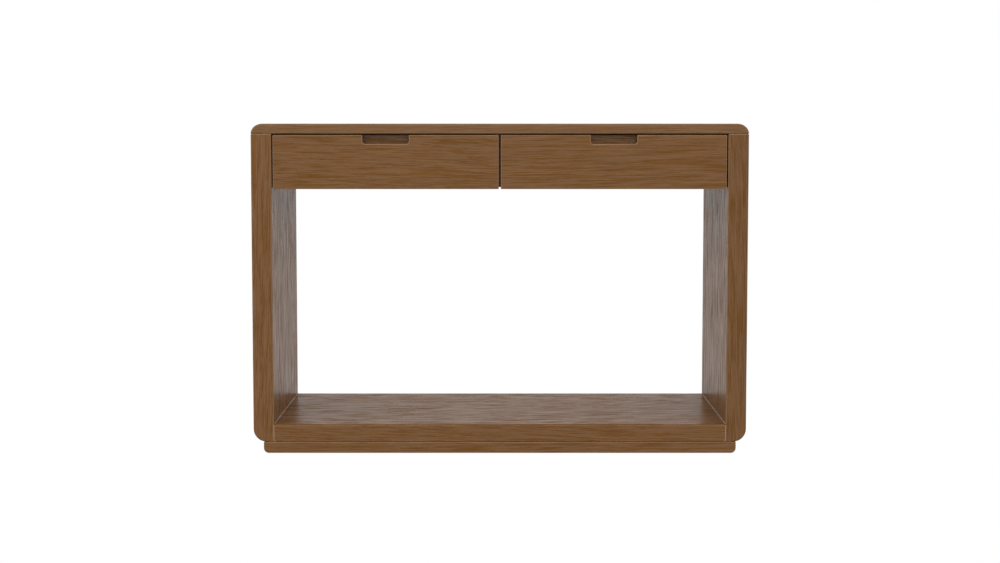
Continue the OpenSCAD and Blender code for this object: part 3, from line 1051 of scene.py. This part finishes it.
def channel(name, wall, towards, u, half, y, z, sheet, web_first=True, lip=0):
    """A channel along Y, from y[0] to y[1], and half a height above and below z.

    u is (near, far), measured from the wall towards the drawer. The web is on the near or the
    far side, and lips turn in at the mouth."""
    def block(u0, u1, v, grow_y=0.0):
        xs = sorted((wall + towards * u0, wall + towards * u1))
        return add_cube(name, (xs[0], y[0] - grow_y, z - v), (xs[1], y[1] + grow_y, z + v))

    web, mouth = (u[0], u[1]) if web_first else (u[1], u[0])
    into = 1 if web_first else -1
    piece = block(*u, half)
    web_x = wall + towards * web
    mouth_x = wall + towards * mouth
    hollow = block(web + into * sheet, mouth - into * sheet if lip else mouth + into * MM,
                   half - sheet, MM)
    combine(piece, "DIFFERENCE", hollow)
    if lip:
        combine(piece, "DIFFERENCE",
                block(web + into * 2 * sheet, mouth + into * MM, half - sheet - lip, MM))
    at_web = lambda p: abs(p.x - web_x) < CLOSE
    at_lip = lambda p: lip > 0 and abs(p.x - mouth_x) < CLOSE
    round_edges(piece, lambda a, b: along(1)(a, b) and abs(abs(a.z - z) - half) < CLOSE
                and (at_web(a) or at_lip(a)), 0.75 * sheet, 4)
    return piece


# %% [markdown]
# The webs have slots for adjusting screws. A slot is punched, so it has round ends: a small
# block with its four edges across the web rounded is the punch, and a boolean makes the hole.

# %% Slots in the webs
# Half the length and half the width of a slot, and the radius of its ends.
SLOT_LONG, SLOT_WIDE, SLOT_R = 7 * MM, 2.3 * MM, 2.2 * MM
# How far each slot lies from the front end of its rail.
SLOT_PLACES = {"cabinet": (0.06, 0.12, 0.24, 0.30), "middle": (0.03, 0.32),
               "drawer": (0.08, 0.13, 0.27)}


def slots(wall, towards, u, rail, y0, z):
    """Punches for the slots of one rail, across its web at u from the wall."""
    punches = []
    for place in SLOT_PLACES[rail]:
        xs = sorted((wall + towards * (u - MM), wall + towards * (u + 1.5 * MM)))
        punch = add_cube("slot", (xs[0], y0 + place - SLOT_LONG, z - SLOT_WIDE),
                         (xs[1], y0 + place + SLOT_LONG, z + SLOT_WIDE))
        round_edges(punch, along(0), SLOT_R, 5)
        punches.append(punch)
    return join("slots", punches)


print("slots in a slide:", sum(len(places) for places in SLOT_PLACES.values()))


# %% [markdown]
# The balls run in two rows, held at even steps by a cage of thin sheet, so that they don't rub
# on each other. A cage is a light channel, and its balls are spheres of few faces, since there
# are 128 of them.

# %% Ball cages
CAGE_SHEET = 0.6 * MM
CAGE_LENGTH = 160 * MM
BALLS_IN_A_ROW = 8
BALL_R = 1.65 * MM
# For each cage: web from the wall, reach of its sides, half its height, balls from the wall.
CAGES = {"outer": (2.6 * MM, 6.3 * MM, 20.05 * MM, 6.2 * MM),
         "inner": (6.2 * MM, 5.0 * MM, 15.35 * MM, 9.2 * MM)}


def add_ball(place):
    """One steel ball."""
    bpy.ops.object.select_all(action="DESELECT")
    bpy.ops.mesh.primitive_uv_sphere_add(segments=12, ring_count=8, radius=BALL_R, location=place)
    ball = bpy.context.object
    bpy.ops.object.transform_apply(location=True, rotation=True, scale=True)
    return ball


def ball_cage(name, wall, towards, kind, y, z):
    """A strip with two rows of balls, one over and one under the rail."""
    web, reach, half, ball_u = CAGES[kind]
    strip = channel(name, wall, towards, (web, web + reach), half, y, z, CAGE_SHEET)
    ball_step = CAGE_LENGTH / BALLS_IN_A_ROW
    balls = [add_ball((wall + towards * ball_u, y[0] + (k + 0.5) * ball_step,
                       z + row * (half - CAGE_SHEET / 2)))
             for row in (-1, 1) for k in range(BALLS_IN_A_ROW)]
    return join(name, [strip] + balls)


print("balls in a slide:", 2 * BALLS_IN_A_ROW * len(CAGES))


# %% [markdown]
# A slide is put together from the wall of the case to the side of the drawer. Its outer channel
# stays on the case, its inner one rides on the drawer, and the middle one and the cages follow,
# each on a body of its own.

# %% Slides
def slide(side, end):
    """The slide at one end of one drawer: three channels and two ball cages."""
    stem = f"{side}_drawer_{end}_"
    low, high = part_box(stem + "cabinet_rail")
    towards = 1 if end == "left" else -1
    wall = low.x if end == "left" else high.x
    y, z = (low.y, high.y), (low.z + high.z) / 2
    outer = channel(stem + "wall_channel", wall, towards, (0, high.x - low.x), (high.z - low.z) / 2,
                    y, z, SHEET, lip=LIP)
    combine(outer, "DIFFERENCE", slots(wall, towards, 0, "cabinet", y[0], z))
    finish_piece(outer, stem + "cabinet_rail", "case", "zinc_steel", ZINC)

    low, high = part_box(stem + "middle_rail")
    near = min(abs(low.x - wall), abs(high.x - wall))
    middle = channel(stem + "middle_channel", wall, towards, (near, near + high.x - low.x),
                     (high.z - low.z) / 2, y, z, SHEET)
    combine(middle, "DIFFERENCE", slots(wall, towards, near, "middle", y[0], z))
    finish_piece(middle, stem + "middle_rail", side + "_middle_rails", "zinc_steel", ZINC)

    low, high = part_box(stem + "drawer_rail")
    near = min(abs(low.x - wall), abs(high.x - wall))
    far = near + high.x - low.x
    inner = channel(stem + "drawer_channel", wall, towards, (near, far), (high.z - low.z) / 2,
                    y, z, SHEET, web_first=False)
    combine(inner, "DIFFERENCE", slots(wall, towards, far - SHEET, "drawer", y[0], z))
    finish_piece(inner, stem + "drawer_rail", side + "_drawer", "zinc_steel", ZINC)

    middle_y = (y[0] + y[1]) / 2
    cage_y = (middle_y - CAGE_LENGTH / 2, middle_y + CAGE_LENGTH / 2)
    for kind in CAGES:
        cage = ball_cage(f"{stem}{kind}_ball_strip", wall, towards, kind, cage_y, z)
        finish_piece(cage, f"{stem}{kind}_ball_cage", f"{side}_{kind}_ball_cages", "ball_cage", CAGE)


for side in ("left", "right"):
    for end in ("left", "right"):
        slide(side, end)
        print("slide set:", side, "drawer,", end, "end")

# %% [markdown]
# ### Screws, dowels and glides
#
# A screw is a lathe shape with a cross-shaped recess in its head. Its parts start as cones, and
# two crossed bars are cut out of the head. It is modelled once, pointing down, and copied to
# each place that the engineering model gives it. Wood screws have a sunk, conical head, and the
# screws of the slides have a flat one that fits inside a channel.

# %% Screw shape
SUNK_SCREW = {"head_r": 4 * MM, "head_h": 2.6 * MM, "shank_r": 2 * MM, "sunk": True}
FLAT_SCREW = {"head_r": 3.3 * MM, "head_h": 0.8 * MM, "shank_r": 1.7 * MM, "sunk": False}
RIM_R = 0.35 * MM
RECESS_LONG, RECESS_WIDE = 0.55, 0.16


def add_cylinder(name, radius, z, top_radius=None, vertices=20):
    """An upright cylinder or cone on the Z axis between z[0] and z[1]."""
    bpy.ops.object.select_all(action="DESELECT")
    bpy.ops.mesh.primitive_cone_add(
        vertices=vertices, radius1=radius, radius2=radius if top_radius is None else top_radius,
        depth=z[1] - z[0], location=(0, 0, (z[0] + z[1]) / 2))
    piece = bpy.context.object
    piece.name = name
    bpy.ops.object.transform_apply(location=True, rotation=True, scale=True)
    return piece


def make_screw(length, head_r, head_h, shank_r, sunk):
    """A screw that points down, with the top of its head at the origin."""
    head = add_cylinder("screw", shank_r if sunk else head_r, (-head_h, 0), head_r)
    round_edges(head, lambda a, b: min(a.z, b.z) > -CLOSE, RIM_R, 3)
    for long, wide in ((RECESS_LONG, RECESS_WIDE), (RECESS_WIDE, RECESS_LONG)):
        recess = add_cube("recess", (-long * head_r, -wide * head_r, -0.7 * head_h),
                          (long * head_r, wide * head_r, MM))
        combine(head, "DIFFERENCE", recess)
    shank = add_cylinder("shank", shank_r, (-length + 2 * shank_r, -0.5 * head_h), vertices=12)
    tip = add_cylinder("tip", 0.1 * shank_r, (-length, -length + 2.2 * shank_r), 0.98 * shank_r, 12)
    return join("screw", [head, shank, tip])


print("screw heads across, in mm:", [round(2 * kind["head_r"] / MM, 1)
                                     for kind in (SUNK_SCREW, FLAT_SCREW)])


# %% [markdown]
# The engineering model gives each screw as a plain solid. Its longest side is its axis, and the
# end that is wider is its head. That is enough to turn and place a copy.

# %% Screws
END_DEPTH = 0.3 * MM
PROUD = 0.15 * MM


def screw_matrices(node):
    """Where each screw of a node stands, from its widest end, and how long it is."""
    matrices = []
    for points in solids(node):
        low, high = points.min(0), points.max(0)
        axis = int(np.argmax(high - low))
        centre = (low + high) / 2
        others = [k for k in range(3) if k != axis]
        ends = [points[np.abs(points[:, axis] - end) < END_DEPTH] for end in (low[axis], high[axis])]
        width = [np.abs(rim[:, others] - centre[others]).max() for rim in ends]
        head_high = width[1] > width[0]
        place, direction = Vector(centre), Vector((0, 0, 0))
        place[axis] = high[axis] if head_high else low[axis]
        direction[axis] = 1 if head_high else -1
        turn = Vector((0, 0, 1)).rotation_difference(direction).to_matrix().to_4x4()
        matrices.append(Matrix.Translation(place) @ turn)
    return matrices, (high - low)[axis]


def screws(node, body, kind):
    """Sets a screw of one kind in every place that a node gives. Returns how many there are."""
    matrices, length = screw_matrices(node)
    proud = Matrix.Translation((0, 0, PROUD if kind["sunk"] else 0))
    master = make_screw(length, **kind)
    piece = set_out(node + "_set", master, [matrix @ proud for matrix in matrices])
    finish_piece(piece, node, body, "screw_steel", SCREW)
    return len(matrices)


count = screws("case_screws", "case", SUNK_SCREW)
count += screws("cabinet_rail_screws", "case", FLAT_SCREW)
for side in ("left", "right"):
    count += screws(side + "_drawer_front_screws", side + "_drawer", SUNK_SCREW)
    count += screws(side + "_drawer_rail_screws", side + "_drawer", FLAT_SCREW)
print("screws:", count)

# %% [markdown]
# The table stands on six small nylon glides, each moulded round a nail that is driven into the
# plinth. The lower rim is rounded, so that a glide doesn't dig into a carpet. The joint dowels
# are hidden in the joints, so they keep the mesh of the engineering model and get beech on it.

# %% Glides and dowels
GLIDE_R, GLIDE_H, GLIDE_RIM = 6 * MM, 1.5 * MM, 0.9 * MM
NAIL_R, NAIL_TOP = 1.2 * MM, 13.5 * MM
glide = add_cylinder("glide", GLIDE_R, (0, GLIDE_H), vertices=32)
round_edges(glide, lambda a, b: max(a.z, b.z) < CLOSE, GLIDE_RIM, 3)
nail = add_cylinder("nail", NAIL_R, (GLIDE_H / 2, NAIL_TOP), vertices=12)
glide = join("glide", [glide, nail])
glide_places = []
for points in solids("floor_glides"):
    x, y, _ = (points.min(0) + points.max(0)) / 2
    glide_places.append(Matrix.Translation((x, y, 0)))
glides = set_out("nylon_glides", glide, glide_places)
finish_piece(glides, "floor_glides", "case", "nylon", NYLON)

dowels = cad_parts["joint_dowels"]
dowels.data.materials.clear()
dowels.data.materials.append(wood("beech", "Z", 40, CLEAR_FINISH, pore_depth=0.1))
print("glides:", len(glide_places), "and dowels:", len(solids("joint_dowels")))
